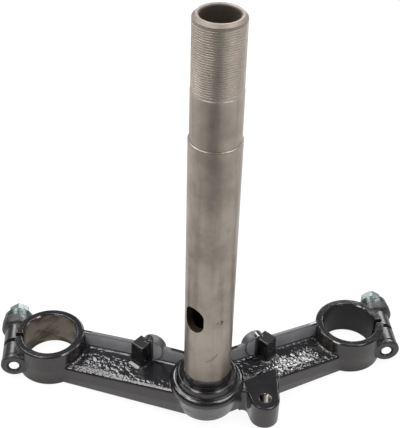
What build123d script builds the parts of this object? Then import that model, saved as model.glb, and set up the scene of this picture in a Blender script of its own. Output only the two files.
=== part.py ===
from build123d import *
import math
import os

# Lower triple clamp of a motorcycle front fork: a cast yoke that grips the two fork tubes,
# with the steering stem pressed into its middle boss and a pinch bolt at each end.
# Millimetres. +Z is up along the steering axis, +Y is forward, +X is to the rider's right.
# z = 0 is the top of the boss collar, the shoulder that the lower steering bearing rests on.

# Fork grip
fork_tube_diameter = 33.0
fork_bore_clearance = 0.15
fork_spacing = 191.8
fork_offset = 42.9
ring_wall = 5.0
ring_height = 24.1
ring_top_drop = 6.0
ring_bulge = 0.5
ring_edge_break = 0.8
bore_chamfer = 0.9
ring_root_fillet = 2.0

# Stem boss in the middle of the yoke
boss_height = 25.4
collar_wall = 4.0
collar_height = 4.8
collar_edge_break = 0.8
shoulder_width = 4.4
shoulder_thickness = 4.4
shoulder_edge_break = 1.6
shoulder_second_break = 0.5
boss_foot_wall = 3.4
boss_foot_edge_break = 1.0

# Arms between the boss and the rings
arm_near_width = 15.8
arm_far_width = 11.5
arm_droop = 5.6
arm_underside_droop = 2.4
arm_middle_drop = 16.5
arm_middle_depth = 8.8
arm_draft = 4.0
web_rise = 8.7
web_crown = 2.4
wall_height = 10.4
wall_top_thickness = 3.2
wall_foot_thickness = 4.2
wall_foot_fillet = 2.0
wall_top_round = 1.1
wall_draft = 2.0
bridge_top_drop = 0.6
bridge_reach = 19.9
bridge_corner_radius = 14.0

# Square pegs on the web, beside the front wall
peg_side = 9.0
peg_height = 15.2
peg_x = 38.5
peg_y = 23.2
peg_draft = 2.0
peg_edge_break = 0.7
peg_top_break = 0.6
peg_foot_reach = 3.0
peg_foot_height = 2.4
peg_foot_knee_reach = 1.0
peg_foot_knee_height = 0.8

# Round bosses on the front wall, tapped from the front
front_boss_radius = 7.7
front_boss_along = 38.9
front_boss_drop = 3.3
front_boss_inner_step = 0.9
front_boss_outer_step = 1.9
front_boss_edge_break = 0.6
front_boss_root_fillet = 3.5
front_thread_diameter = 6.0
front_thread_floor = 1.2

# Tab with a tapped hole, beside the boss
tab_x = 34.0
tab_y = -13.9
tab_end_radius = 8.7
tab_root_start = 20.3
tab_root_end = 45.2
tab_root_across = 8.5
tab_top_drop = 10.75
tab_thickness = 16.6
tab_edge_break = 0.7
tab_waist_fillet = 3.5
tab_side_fillet = 2.0
tab_bed = 1.5
tab_root_sink = 0.3
tab_thread_diameter = 6.0
tab_mouth_chamfer = 0.6

# Pinch lugs beside the rings, split by the slit
pinch_slit = 3.0
lug_outboard_step = 0.65
lug_barrel_radius = 7.8
lug_collar_radius = 8.2
lug_collar_length = 2.8
lug_front_step = 5.95
lug_rear_step = 0.15
lug_groove_width = 1.2
lug_groove_depth = 0.5
lug_seat_radius = 10.2
lug_seat_length = 5.9
lug_seat_cone = 1.6
lug_web_height = 13.0
lug_web_rear_step = 4.5
lug_edge_break = 0.8
pinch_thread_diameter = 8.0
pinch_thread_clearance = 0.02
pinch_hole_clearance = 0.4
pinch_tip_recess = 0.6
pinch_mouth_chamfer = 0.7

# Flanged hexagon pinch bolts and their plain washers
hex_across_flats = 12.0
hex_height = 6.0
hex_corner_chamfer = 0.8
flange_diameter = 19.0
flange_rim = 2.8
flange_cone = 1.8
washer_thickness = 2.4
washer_diameter = 19.6
washer_bore_clearance = 0.2
bolt_tip_chamfer = 0.9

# Steering stem
stem_diameter = 27.8
stem_press_diameter = 28.6
stem_fit_clearance = 0.02
stem_hole_chamfer = 0.5
journal_diameter = 26.5
thread_diameter = 26.0
stem_bore_diameter = 19.2
stem_top = 232.0
thread_length = 38.5
journal_length = 27.8
stem_foot_stick_out = 1.6
stem_foot_chamfer = 0.8
stem_step_chamfer = 0.35
stem_top_chamfer = 1.6
stem_mouth_chamfer = 0.8
lock_hole_width = 12.6
lock_hole_height = 17.8
lock_hole_level = 52.0
lock_hole_turn = 45.0

# Worked out from the sizes above
fork_bore_radius = fork_tube_diameter / 2 + fork_bore_clearance
ring_radius = fork_bore_radius + ring_wall
fork_x = fork_spacing / 2
fork_y = fork_offset
arm_length = math.hypot(fork_x, fork_y)
arm_turn = math.degrees(math.atan2(fork_y, fork_x))
ring_top = -ring_top_drop
ring_bottom = ring_top - ring_height
ring_middle = (ring_top + ring_bottom) / 2
boss_bottom = -boss_height
stem_radius = stem_diameter / 2
stem_press_radius = stem_press_diameter / 2
stem_hole_radius = stem_press_radius + stem_fit_clearance
stem_foot = boss_bottom - stem_foot_stick_out
collar_radius = stem_radius + collar_wall
shoulder_radius = collar_radius + shoulder_width
shoulder_top = -collar_height
shoulder_bottom = shoulder_top - shoulder_thickness
boss_foot_radius = stem_radius + boss_foot_wall
front_boss_inner_face = arm_far_width - wall_foot_thickness - front_boss_inner_step
lug_outboard = ring_radius + lug_outboard_step
lug_x = fork_x + lug_outboard
lug_front = fork_y - ring_radius + lug_front_step
lug_rear = fork_y + ring_radius - lug_rear_step
pinch_radius = pinch_thread_diameter / 2
bolt_seat = lug_rear + washer_thickness
bolt_tip = lug_front + pinch_tip_recess
outline_tolerance = 0.01
below_all = 2 * ring_height
beyond_all = 2 * arm_length

# Frames of the right arm: x along it, y forwards across it, z up
level_arm = Plane(origin=(0, 0, 0), z_dir=(0, 0, 1)).rotated((0, 0, arm_turn))
across_arm = level_arm.y_dir


def tilted_arm(drop, droop):
    """Frame on the stem axis at a depth, tilted down along the right arm."""
    tilt = math.radians(droop)
    along = level_arm.x_dir * math.cos(tilt) - level_arm.z_dir * math.sin(tilt)
    return Plane(origin=(0, 0, -drop), x_dir=along, z_dir=along.cross(across_arm))


def slab(plane, thickness):
    """Wide block on one side of a plane: above it, or below it if the thickness is negative."""
    return extrude(plane * Rectangle(beyond_all, beyond_all), thickness)


def round_corner(face, corner, radius):
    """Round the corner of a flat outline that lies nearest to a point."""
    return fillet(face.vertices().sort_by_distance(corner)[0], radius)


def break_corner(face, corner, size):
    """Chamfer the corner of a flat outline that lies nearest to a point."""
    return chamfer(face.vertices().sort_by_distance(corner)[0], size)


def ring_body():
    """Fork ring without its bore, thickest at the parting line half way up."""
    top_edge = (ring_radius, ring_top)
    bottom_edge = (ring_radius, ring_bottom)
    face = make_face(
        Polyline(
            (0, ring_top),
            top_edge,
            (ring_radius + ring_bulge, ring_middle),
            bottom_edge,
            (0, ring_bottom),
            close=True,
        )
    )
    face = break_corner(face, top_edge, ring_edge_break)
    face = break_corner(face, bottom_edge, ring_edge_break)
    return Pos(fork_x, fork_y, 0) * revolve(Plane.XZ * face, Axis.Z)


def boss_body():
    """Stem boss without its hole: bearing collar, round shoulder and tapered foot."""
    collar_edge = (collar_radius, 0)
    shoulder_edge = (shoulder_radius, shoulder_top)
    foot_edge = (boss_foot_radius, boss_bottom)
    face = make_face(
        Polyline(
            (0, 0),
            collar_edge,
            (collar_radius + collar_edge_break, shoulder_top),
            shoulder_edge,
            (shoulder_radius, shoulder_bottom),
            foot_edge,
            (0, boss_bottom),
            close=True,
        )
    )
    face = break_corner(face, collar_edge, collar_edge_break)
    face = break_corner(face, shoulder_edge, shoulder_edge_break)
    rim = (shoulder_radius - shoulder_edge_break, shoulder_top)
    side = (shoulder_radius, shoulder_top - shoulder_edge_break)
    face = break_corner(face, rim, shoulder_second_break)
    face = break_corner(face, side, shoulder_second_break)
    face = break_corner(face, foot_edge, boss_foot_edge_break)
    return revolve(Plane.XZ * face, Axis.Z)


def arm_bar(upper):
    """Bar along the right arm with drafted flanks, from its upper corners and their roundings."""
    slope = math.tan(math.radians(arm_draft))
    depth = 2 * arm_middle_depth
    near_top = (-arm_near_width + web_rise * slope, web_rise)
    face = make_face(
        Polyline(
            (-arm_near_width + depth * slope, -depth),
            (-arm_near_width, 0),
            near_top,
            *upper,
            (arm_far_width, 0),
            (arm_far_width - depth * slope, -depth),
            close=True,
        )
    )
    face = round_corner(face, near_top, web_crown)
    for corner, radius in upper.items():
        if radius:
            face = round_corner(face, corner, radius)
    line = tilted_arm(arm_middle_drop, arm_droop)
    section = Plane(origin=line.origin, x_dir=across_arm, z_dir=line.x_dir)
    return extrude(section * face, arm_length)


def underside_cut():
    """Block below the right arm's underside, to cut away."""
    return slab(tilted_arm(arm_middle_drop + arm_middle_depth, arm_underside_droop), -below_all)


def arm_body():
    """Right arm: a web with a rounded near edge and a standing front wall, both falling to the fork."""
    wall_rise = web_rise + wall_height
    outer_top_v = arm_far_width - wall_rise * math.tan(math.radians(wall_draft))
    wall_foot = (arm_far_width - wall_foot_thickness, web_rise)
    inner_top = (outer_top_v - wall_top_thickness, wall_rise)
    outer_top = (outer_top_v, wall_rise)
    body = arm_bar({wall_foot: wall_foot_fillet, inner_top: wall_top_round, outer_top: wall_top_round})
    body += half_bridge()
    body -= slab(Plane.XY.offset(-bridge_top_drop), below_all)
    body -= Pos(fork_x, fork_y, ring_top) * extrude(Circle(ring_radius), below_all)
    return body - underside_cut()


def rooted_ring():
    """Right ring on the web alone, with a fillet where it stands on the web."""
    far_top = (arm_far_width - web_rise * math.tan(math.radians(wall_draft)), web_rise)
    body = arm_bar({far_top: 0}) - underside_cut() + ring_body()
    foot = []
    for edge in body.edges():
        middle = edge @ 0.5
        off_axis = math.hypot(middle.X - fork_x, middle.Y - fork_y) - ring_radius
        off_web = middle.Z - web_level(middle.X, middle.Y)
        if 0 <= off_axis < ring_bulge - outline_tolerance and abs(off_web) < ring_bulge:
            foot.append(edge)
    return fillet(foot, ring_root_fillet)


def half_bridge():
    """Right half of the wall that joins the two front walls ahead of the boss."""
    turn = math.radians(arm_turn)
    side_reach = arm_far_width / math.cos(turn)
    corner_x = (bridge_reach - side_reach) / math.tan(turn)
    end_x = corner_x + bridge_corner_radius / 2
    end_y = side_reach + end_x * math.tan(turn)
    face = make_face(
        Polyline((0, 0), (0, bridge_reach), (corner_x, bridge_reach), (end_x, end_y), (end_x, 0), close=True)
    )
    face = round_corner(face, (corner_x, bridge_reach), bridge_corner_radius)
    face = face.moved(Location((0, 0, -arm_middle_drop)))
    upper = extrude(face, arm_middle_drop, taper=wall_draft)
    return upper + extrude(face, -below_all, taper=arm_draft)


def web_level(x, y):
    """Height of the right arm's web at a place in plan."""
    along = level_arm.to_local_coords(Vector(x, y, 0)).X
    return web_rise - arm_middle_drop - along * math.tan(math.radians(arm_droop))


def broken_square(side, size):
    """Flat square with its four corners cut off."""
    square = Rectangle(side, side)
    return chamfer(square.vertices(), size)


def peg():
    """Square peg with its corners to the front and the rear, flared where it meets the web."""
    base_side = peg_side + 2 * peg_height * math.tan(math.radians(peg_draft))
    foot = Location((peg_x, peg_y, web_level(peg_x, peg_y)), (0, 0, 45))
    square = broken_square(base_side, peg_edge_break)
    shaft = extrude(foot * square, peg_height, taper=peg_draft)
    shaft = chamfer(shaft.edges().group_by(Axis.Z)[-1], peg_top_break)
    root = foot * broken_square(base_side + 2 * peg_foot_reach, peg_edge_break + peg_foot_reach)
    flat_taper = math.atan2(peg_foot_reach - peg_foot_knee_reach, peg_foot_knee_height)
    flare = extrude(root, peg_foot_knee_height, taper=math.degrees(flat_taper))
    neck = flare.faces().sort_by(Axis.Z)[-1]
    steep_rise = peg_foot_height - peg_foot_knee_height
    steep_taper = math.atan2(peg_foot_knee_reach, steep_rise)
    flare += extrude(neck, steep_rise, taper=math.degrees(steep_taper))
    return shaft + flare + extrude(root, -peg_foot_height)


def front_boss():
    """Round boss through the right front wall, blended into the wall's top on both sides."""
    upright = Plane(origin=(0, 0, 0), x_dir=level_arm.x_dir, z_dir=-across_arm)
    outer = arm_far_width + front_boss_outer_step
    circle = Pos(front_boss_along, -front_boss_drop) * Circle(front_boss_radius)
    body = extrude(upright.offset(-outer) * circle, outer - front_boss_inner_face)
    body = chamfer(body.edges().filter_by(GeomType.CIRCLE), front_boss_edge_break)
    slope = math.tan(math.radians(arm_droop))
    reach = front_boss_radius + 2 * front_boss_root_fillet
    start, end = front_boss_along - reach, front_boss_along + reach
    wall_top = web_rise + wall_height - arm_middle_drop - wall_top_round / 2
    level_top = -bridge_top_drop - wall_top_round / 2
    floor = -front_boss_drop - front_boss_radius
    wall = make_face(
        Polyline(
            (start, floor),
            (start, level_top),
            (front_boss_along, level_top),
            (front_boss_along, wall_top - front_boss_along * slope),
            (end, wall_top - end * slope),
            (end, floor),
            close=True,
        )
    )
    rooted = wall + circle
    roots = rooted.vertices().sort_by(Axis.Y)[-4:].sort_by(Axis.X)[1:3]
    rooted = fillet(roots, front_boss_root_fillet)
    root_far = arm_far_width - wall_top_round
    return body + extrude(upright.offset(-root_far) * rooted, wall_top_thickness - wall_top_round)


def near_side_corners(plan):
    """Corners of a flat outline that lie on the arm's near side, from the stem outwards."""
    corners = []
    for corner in plan.vertices():
        local = level_arm.to_local_coords(Vector(*corner))
        if abs(local.Y + arm_near_width - tab_root_sink) < outline_tolerance:
            corners.append(corner)
    return sorted(corners, key=lambda corner: level_arm.to_local_coords(Vector(*corner)).X)


def tab_outline():
    """Outline of the tab in plan, from its round end to its root on the web."""
    end = Pos(tab_x, tab_y) * Circle(tab_end_radius)
    root_left = level_arm.from_local_coords((tab_root_start, -tab_root_across, 0))
    root_right = level_arm.from_local_coords((tab_root_end, -tab_root_across, 0))
    return make_hull(end.edges() + Line(root_left, root_right).edges())


def tab_clearance():
    """Room above the tab's flat top, to cut out of the web."""
    return Pos(0, 0, -tab_top_drop) * extrude(tab_outline(), tab_top_drop)


def tab_body():
    """Tab beside the boss, blended into the arm's near side at both of its flanks."""
    outline = tab_outline()
    strip_place = Pos(arm_length / 2, tab_root_sink - arm_near_width + tab_bed / 2)
    plan = outline + level_arm * (strip_place * Rectangle(arm_length, tab_bed))
    plan = fillet(near_side_corners(plan)[1], tab_waist_fillet)
    plan = fillet(near_side_corners(plan)[-2], tab_side_fillet)
    flanks = [level_arm.to_local_coords(Vector(*corner)).X for corner in near_side_corners(plan)]
    blend_start, blend_end = flanks[1], flanks[-2]
    window_place = Pos((blend_start + blend_end) / 2, -arm_near_width)
    window = level_arm * (window_place * Rectangle(blend_end - blend_start, 2 * beyond_all))
    plan = (plan & window) + outline
    body = Pos(0, 0, -tab_top_drop) * extrude(plan, -tab_thickness)
    return chamfer(body.edges().group_by(Axis.Z)[-1], tab_edge_break)


def lug_body():
    """Pinch lug beside the right ring: a barrel with a front collar and a wide seat for the bolt."""
    collar_rear = lug_front + lug_collar_length
    groove_rear = collar_rear + lug_groove_width
    groove_radius = lug_barrel_radius - lug_groove_depth
    seat_front = lug_rear - lug_seat_length
    face = make_face(
        Polyline(
            (0, lug_front),
            (lug_collar_radius, lug_front),
            (lug_collar_radius, collar_rear),
            (groove_radius, collar_rear),
            (groove_radius, groove_rear),
            (lug_barrel_radius, groove_rear),
            (lug_barrel_radius, seat_front - lug_seat_cone),
            (lug_seat_radius, seat_front),
            (lug_seat_radius, lug_rear),
            (0, lug_rear),
            close=True,
        )
    )
    face = break_corner(face, (lug_collar_radius, lug_front), lug_edge_break)
    face = break_corner(face, (lug_seat_radius, lug_rear), lug_edge_break)
    face = break_corner(face, (lug_seat_radius, seat_front), lug_edge_break)
    barrel = Pos(lug_x, 0, ring_middle) * revolve(face, Axis.Y)
    web_front = lug_front + lug_edge_break
    web_rear = lug_rear - lug_web_rear_step
    web = Pos((fork_x + lug_x) / 2, (web_front + web_rear) / 2, ring_middle) * Box(
        lug_outboard, web_rear - web_front, lug_web_height
    )
    return barrel + web


def bore(radius, top, bottom, mouth):
    """Upright hole to cut away, with a chamfer at both of its mouths."""
    face = make_face(
        Polyline(
            (0, top + mouth),
            (radius + 2 * mouth, top + mouth),
            (radius, top - mouth),
            (radius, bottom + mouth),
            (radius + 2 * mouth, bottom - mouth),
            (0, bottom - mouth),
            close=True,
        )
    )
    return revolve(Plane.XZ * face, Axis.Z)


def rod(radius, start, end):
    """Round bar along the right pinch bolt's line, between two distances forwards."""
    line = Plane(origin=(lug_x, start, ring_middle), z_dir=(0, 1, 0))
    return extrude(line * Circle(radius), end - start)


def fork_cuts():
    """Fork bore, slit and pinch hole of the right ring, to cut away."""
    cuts = Pos(fork_x, fork_y, 0) * bore(fork_bore_radius, ring_top, ring_bottom, bore_chamfer)
    slit_end = lug_outboard + 2 * lug_seat_radius
    cuts += Pos(fork_x + slit_end / 2, fork_y, ring_middle) * Box(slit_end, pinch_slit, below_all)
    tapped = rod(pinch_radius + pinch_thread_clearance, lug_front - lug_edge_break, fork_y)
    plain = rod(pinch_radius + pinch_hole_clearance, fork_y, lug_rear + lug_edge_break)
    mouth = Plane(origin=(lug_x, lug_front + pinch_mouth_chamfer, ring_middle), z_dir=(0, -1, 0))
    sink = extrude(mouth * Circle(pinch_radius), 2 * pinch_mouth_chamfer, taper=-45)
    return cuts + tapped + plain + sink


def front_thread():
    """Tapped hole in the right front boss, to cut away."""
    mouth = arm_far_width + front_boss_outer_step
    depth = mouth - front_boss_inner_face - front_thread_floor
    centre = level_arm.from_local_coords((front_boss_along, mouth, -front_boss_drop))
    return extrude(Plane(origin=centre, z_dir=-across_arm) * Circle(front_thread_diameter / 2), depth)


def lower_yoke():
    """The casting, from its right half and the half mirrored from it."""
    half = rooted_ring() + arm_body() + peg() + front_boss() + lug_body()
    half -= fork_cuts() + front_thread()
    yoke = half - tab_clearance() + mirror(half, Plane.YZ) + boss_body() + tab_body()
    tab_bottom = -tab_top_drop - tab_thickness
    yoke -= Pos(tab_x, tab_y, 0) * bore(tab_thread_diameter / 2, -tab_top_drop, tab_bottom, tab_mouth_chamfer)
    return yoke - bore(stem_hole_radius, 0, boss_bottom, stem_hole_chamfer)


def steering_stem():
    """Steel tube: pressed foot, three steps down to the thread and an oval steering-lock hole."""
    journal_radius = journal_diameter / 2
    thread_radius = thread_diameter / 2
    bore_radius = stem_bore_diameter / 2
    thread_start = stem_top - thread_length
    journal_start = thread_start - journal_length
    face = make_face(
        Polyline(
            (bore_radius, stem_foot),
            (stem_press_radius - stem_foot_chamfer, stem_foot),
            (stem_press_radius, stem_foot + stem_foot_chamfer),
            (stem_press_radius, stem_radius - stem_press_radius),
            (stem_radius, 0),
            (stem_radius, journal_start - stem_step_chamfer),
            (journal_radius, journal_start),
            (journal_radius, thread_start - stem_step_chamfer),
            (thread_radius, thread_start),
            (thread_radius, stem_top - stem_top_chamfer),
            (thread_radius - stem_top_chamfer, stem_top),
            (bore_radius + stem_mouth_chamfer, stem_top),
            (bore_radius, stem_top - stem_mouth_chamfer),
            close=True,
        )
    )
    tube = revolve(Plane.XZ * face, Axis.Z)
    turn = math.radians(lock_hole_turn)
    facing = Vector(-math.sin(turn), -math.cos(turn), 0)
    window = Plane(origin=(0, 0, lock_hole_level), x_dir=(0, 0, 1), z_dir=facing)
    return tube - extrude(window * SlotOverall(lock_hole_height, lock_hole_width), stem_diameter)


def pinch_washer():
    """Plain washer under the right bolt's flange."""
    washer = rod(washer_diameter / 2, lug_rear, bolt_seat)
    return washer - rod(pinch_radius + washer_bore_clearance, lug_rear, bolt_seat)


def pinch_bolt():
    """Right pinch bolt: hexagon head with a coned flange on a plain-modelled shank."""
    hex_corner = hex_across_flats / math.sqrt(3)
    flange_top = bolt_seat + flange_rim
    hex_start = flange_top + flange_cone
    head_top = hex_start + hex_height
    face = make_face(
        Polyline(
            (0, bolt_tip),
            (pinch_radius - bolt_tip_chamfer, bolt_tip),
            (pinch_radius, bolt_tip + bolt_tip_chamfer),
            (pinch_radius, bolt_seat),
            (flange_diameter / 2, bolt_seat),
            (flange_diameter / 2, flange_top),
            (hex_across_flats / 2, hex_start),
            (0, hex_start),
            close=True,
        )
    )
    shank = Pos(lug_x, 0, ring_middle) * revolve(face, Axis.Y)
    foot = Plane(origin=(lug_x, flange_top, ring_middle), z_dir=(0, 1, 0))
    hexagon = extrude(foot * RegularPolygon(hex_corner, 6), head_top - flange_top)
    dome_face = make_face(
        Polyline(
            (0, flange_top),
            (hex_corner, flange_top),
            (hex_corner, head_top - hex_corner_chamfer / 2),
            (hex_corner - hex_corner_chamfer, head_top),
            (0, head_top),
            close=True,
        )
    )
    dome = Pos(lug_x, 0, ring_middle) * revolve(dome_face, Axis.Y)
    return shank + (hexagon & dome)


nodes = {
    "lower_yoke": lower_yoke(),
    "steering_stem": steering_stem(),
    "pinch_bolt_right": pinch_bolt(),
    "pinch_washer_right": pinch_washer(),
}
nodes["pinch_bolt_left"] = mirror(nodes["pinch_bolt_right"], Plane.YZ)
nodes["pinch_washer_left"] = mirror(nodes["pinch_washer_right"], Plane.YZ)

os.makedirs("parts", exist_ok=True)
for name, solid in nodes.items():
    export_step(solid, f"parts/{name}.step")
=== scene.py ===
"""Looks of a motorcycle's lower triple clamp: a painted casting with a bare steel stem.

Sizes are metres in the frame of the part's solids: the steering axis is Z, the bolt heads point towards +Y
and the tab stands on the side of +X. Colours are written as they look on a screen.
"""

import logging
import math
from dataclasses import dataclass, field
from enum import Enum
from typing import Union

import bpy
from mathutils import Matrix, Vector

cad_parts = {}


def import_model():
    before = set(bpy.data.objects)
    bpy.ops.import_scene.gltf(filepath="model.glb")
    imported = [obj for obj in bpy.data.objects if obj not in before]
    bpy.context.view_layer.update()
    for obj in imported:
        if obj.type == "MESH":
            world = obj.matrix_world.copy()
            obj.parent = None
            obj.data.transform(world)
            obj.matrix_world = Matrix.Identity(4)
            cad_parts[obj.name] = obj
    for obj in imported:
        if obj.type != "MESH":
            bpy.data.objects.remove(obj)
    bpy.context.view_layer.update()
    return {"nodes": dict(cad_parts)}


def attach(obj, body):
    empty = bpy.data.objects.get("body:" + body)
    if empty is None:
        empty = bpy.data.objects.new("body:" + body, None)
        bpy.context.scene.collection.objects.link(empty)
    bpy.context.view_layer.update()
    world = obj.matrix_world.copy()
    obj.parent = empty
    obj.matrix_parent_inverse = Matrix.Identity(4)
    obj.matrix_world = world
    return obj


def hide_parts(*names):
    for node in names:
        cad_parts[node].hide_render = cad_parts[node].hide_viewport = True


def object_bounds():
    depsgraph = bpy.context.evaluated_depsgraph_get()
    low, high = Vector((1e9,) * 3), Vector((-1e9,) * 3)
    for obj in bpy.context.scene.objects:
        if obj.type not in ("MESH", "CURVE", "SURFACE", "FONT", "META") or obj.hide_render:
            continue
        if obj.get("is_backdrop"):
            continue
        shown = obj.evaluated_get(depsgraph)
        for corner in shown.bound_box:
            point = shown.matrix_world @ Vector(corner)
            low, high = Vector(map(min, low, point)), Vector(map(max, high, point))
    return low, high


logging.basicConfig(level=logging.INFO, format="%(message)s")
log = logging.getLogger("triple_clamp")

Colour = tuple[int, int, int]
Point = tuple[float, float, float]
Shade = tuple[float, float, float, float]
Socket = bpy.types.NodeSocket
Value = Union[Socket, float]
Tint = Union[Socket, Shade]
Layer = tuple[Value, Tint]

FORK_X = 0.0959
FORK_Y = 0.0429
FORK_BORE_RADIUS = 0.01665
ARM_TURN = math.atan2(FORK_Y, FORK_X)
BOLT_X = 0.1182
BOLT_Z = -0.01805
STEM_RADIUS = 0.0139
STEM_BORE_RADIUS = 0.0096
STEM_TOP = 0.232
THREAD_START = 0.1935
EVEN: Point = (1.0, 1.0, 1.0)


class Side(Enum):
    """Sides of the machine, as the names of the nodes say them."""

    LEFT = "left"
    RIGHT = "right"


class Slot(Enum):
    """Names of material slots of the part's record, which nothing in this script uses."""

    STEM = "bare_steel"


@dataclass(frozen=True)
class Edge:
    """A soft edge: the value where a zone or pattern has not begun, and the value where it is full."""

    off: float
    full: float


@dataclass(frozen=True)
class Span:
    """A stretch of values, with half the width over which each end fades."""

    low: float
    high: float
    soft: float = 0.0004


@dataclass(frozen=True)
class Grain:
    """Smooth noise: waves per metre, octaves, strength of the finer octaves, and distortion."""

    waves: float
    octaves: float = 3.0
    rough: float = 0.6
    bend: float = 0.0


@dataclass(frozen=True)
class Patches:
    """Patches of a colour: their strength, their noise, where in it they begin, and their stretch."""

    colour: Colour
    share: float
    grain: Grain
    edge: Edge
    stretch: Point = EVEN


@dataclass(frozen=True)
class Relief:
    """Noise in the height of a surface: the pattern, its strength, its depth in metres and its stretch."""

    grain: Grain
    strength: float
    depth: float
    stretch: Point = EVEN


USUAL_NOISE = Edge(0.3, 0.7)


def linear(shade: Colour) -> Shade:
    """Turn a colour as seen on a screen into a shader colour, by the standard screen curve.

    Args:
        shade: Red, green and blue, from 0 to 255.

    Returns:
        The linear colour with full alpha.
    """
    channels = []
    for value in shade:
        share = value / 255
        channels.append(share / 12.92 if share <= 0.04045 else ((share + 0.055) / 1.055) ** 2.4)
    return (channels[0], channels[1], channels[2], 1.0)


class Paint:
    """A node material that reads Object coordinates, with helpers for its usual nodes."""

    def __init__(self, name: str) -> None:
        """Make the material and its shader.

        Args:
            name: Name of the material.
        """
        self.material = bpy.data.materials.new(name)
        self.material.use_nodes = True
        self.tree = self.material.node_tree
        self.tree.nodes.clear()
        self.output = self.tree.nodes.new("ShaderNodeOutputMaterial")
        self.shader = self.tree.nodes.new("ShaderNodeBsdfPrincipled")
        self.tree.links.new(self.shader.outputs["BSDF"], self.output.inputs["Surface"])
        self.place = self.tree.nodes.new("ShaderNodeTexCoord").outputs["Object"]

    def node(self, kind: str, **settings: object) -> bpy.types.Node:
        """Add a node and set its plain settings.

        Args:
            kind: Blender's name of the node type.
            **settings: Attributes to set on the node.

        Returns:
            The new node.
        """
        made = self.tree.nodes.new(kind)
        for key, value in settings.items():
            setattr(made, key, value)
        return made

    def feed(self, target: Socket, value: Union[Value, Tint]) -> None:
        """Set a socket to a number or colour, or link it to another socket.

        Args:
            target: Input socket.
            value: Plain value or output socket.
        """
        if isinstance(value, Socket):
            self.tree.links.new(value, target)
        else:
            target.default_value = value

    def set(self, **inputs: Union[Value, Tint]) -> None:
        """Set inputs of the shader, with underscores for the spaces of their names."""
        for key, value in inputs.items():
            self.feed(self.shader.inputs[key.replace("_", " ")], value)

    def stretched(self, size: Point, centre: Point = (0.0, 0.0, 0.0), turn: float = 0.0) -> Socket:
        """Object coordinates about a centre, turned and then divided by a size along each axis.

        Args:
            size: Size along each axis that becomes 1.
            centre: Point that becomes the origin.
            turn: Turn about the Z axis in radians.

        Returns:
            The vector socket.
        """
        mapping = self.node("ShaderNodeMapping", vector_type="TEXTURE")
        mapping.inputs["Location"].default_value = centre
        mapping.inputs["Rotation"].default_value = (0.0, 0.0, turn)
        mapping.inputs["Scale"].default_value = size
        self.feed(mapping.inputs["Vector"], self.place)
        return mapping.outputs["Vector"]

    def noise(self, grain: Grain, stretch: Point = EVEN) -> Socket:
        """Smooth noise from 0 to 1.

        Args:
            grain: The pattern.
            stretch: How many times it is drawn out along each axis.

        Returns:
            The value socket.
        """
        made = self.node("ShaderNodeTexNoise")
        self.feed(made.inputs["Vector"], self.place if stretch == EVEN else self.stretched(stretch))
        made.inputs["Scale"].default_value = grain.waves
        made.inputs["Detail"].default_value = grain.octaves
        made.inputs["Roughness"].default_value = grain.rough
        made.inputs["Distortion"].default_value = grain.bend
        return made.outputs["Fac"]

    def cells(self, count: float, smooth: float) -> Socket:
        """Distance from the middles of random cells.

        Args:
            count: Cells per metre.
            smooth: Smoothness of the pattern.

        Returns:
            The distance socket.
        """
        made = self.node("ShaderNodeTexVoronoi", feature="SMOOTH_F1")
        self.feed(made.inputs["Vector"], self.place)
        made.inputs["Scale"].default_value = count
        made.inputs["Smoothness"].default_value = smooth
        return made.outputs["Distance"]

    def math(self, operation: str, first: Value, second: Value = 0.0) -> Socket:
        """Plain arithmetic on sockets or numbers.

        Args:
            operation: Blender's name of the operation.
            first: First value.
            second: Second value.

        Returns:
            The value socket.
        """
        made = self.node("ShaderNodeMath", operation=operation)
        self.feed(made.inputs[0], first)
        self.feed(made.inputs[1], second)
        return made.outputs["Value"]

    def times(self, *values: Value) -> Value:
        """Product of several sockets or numbers.

        Args:
            *values: The factors.

        Returns:
            The value socket.
        """
        product = values[0]
        for value in values[1:]:
            product = self.math("MULTIPLY", product, value)
        return product

    def plus(self, *values: Value) -> Value:
        """Sum of several sockets or numbers.

        Args:
            *values: The terms.

        Returns:
            The value socket.
        """
        total = values[0]
        for value in values[1:]:
            total = self.math("ADD", total, value)
        return total

    def minus(self, first: Value, second: Value) -> Socket:
        """Difference of two sockets or numbers."""
        return self.math("SUBTRACT", first, second)

    def size_of(self, value: Value) -> Socket:
        """Value without its sign."""
        return self.math("ABSOLUTE", value)

    def ramp(self, value: Value, low: float, high: float, start: float = 0.0, end: float = 1.0) -> Socket:
        """Map a range of values smoothly onto another range.

        Args:
            value: Socket to map.
            low: Value that gives start.
            high: Value that gives end.
            start: Result on the low side.
            end: Result on the high side.

        Returns:
            The value socket.
        """
        made = self.node("ShaderNodeMapRange", interpolation_type="SMOOTHSTEP")
        for target, limit in zip(made.inputs, (value, low, high, start, end)):
            self.feed(target, limit)
        return made.outputs["Result"]

    def past(self, value: Value, edge: Edge, start: float = 0.0, end: float = 1.0) -> Socket:
        """Value that goes from start to end over a soft edge."""
        return self.ramp(value, edge.off, edge.full, start, end)

    def spread(self, noise: Socket, low: float, high: float) -> Socket:
        """Map the usual range of noise onto two values."""
        return self.past(noise, USUAL_NOISE, low, high)

    def within(self, value: Value, span: Span) -> Socket:
        """Share that is 1 on a span and 0 outside it.

        Args:
            value: Socket to test.
            span: The stretch of values.

        Returns:
            The value socket.
        """
        rise = self.ramp(value, span.low - span.soft, span.low + span.soft)
        fall = self.ramp(value, span.high - span.soft, span.high + span.soft, 1.0, 0.0)
        return self.math("MULTIPLY", rise, fall)

    def apart(self, share: Value) -> Socket:
        """Share that is 1 where another share is 0."""
        return self.ramp(share, 1.0, 0.0)

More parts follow.
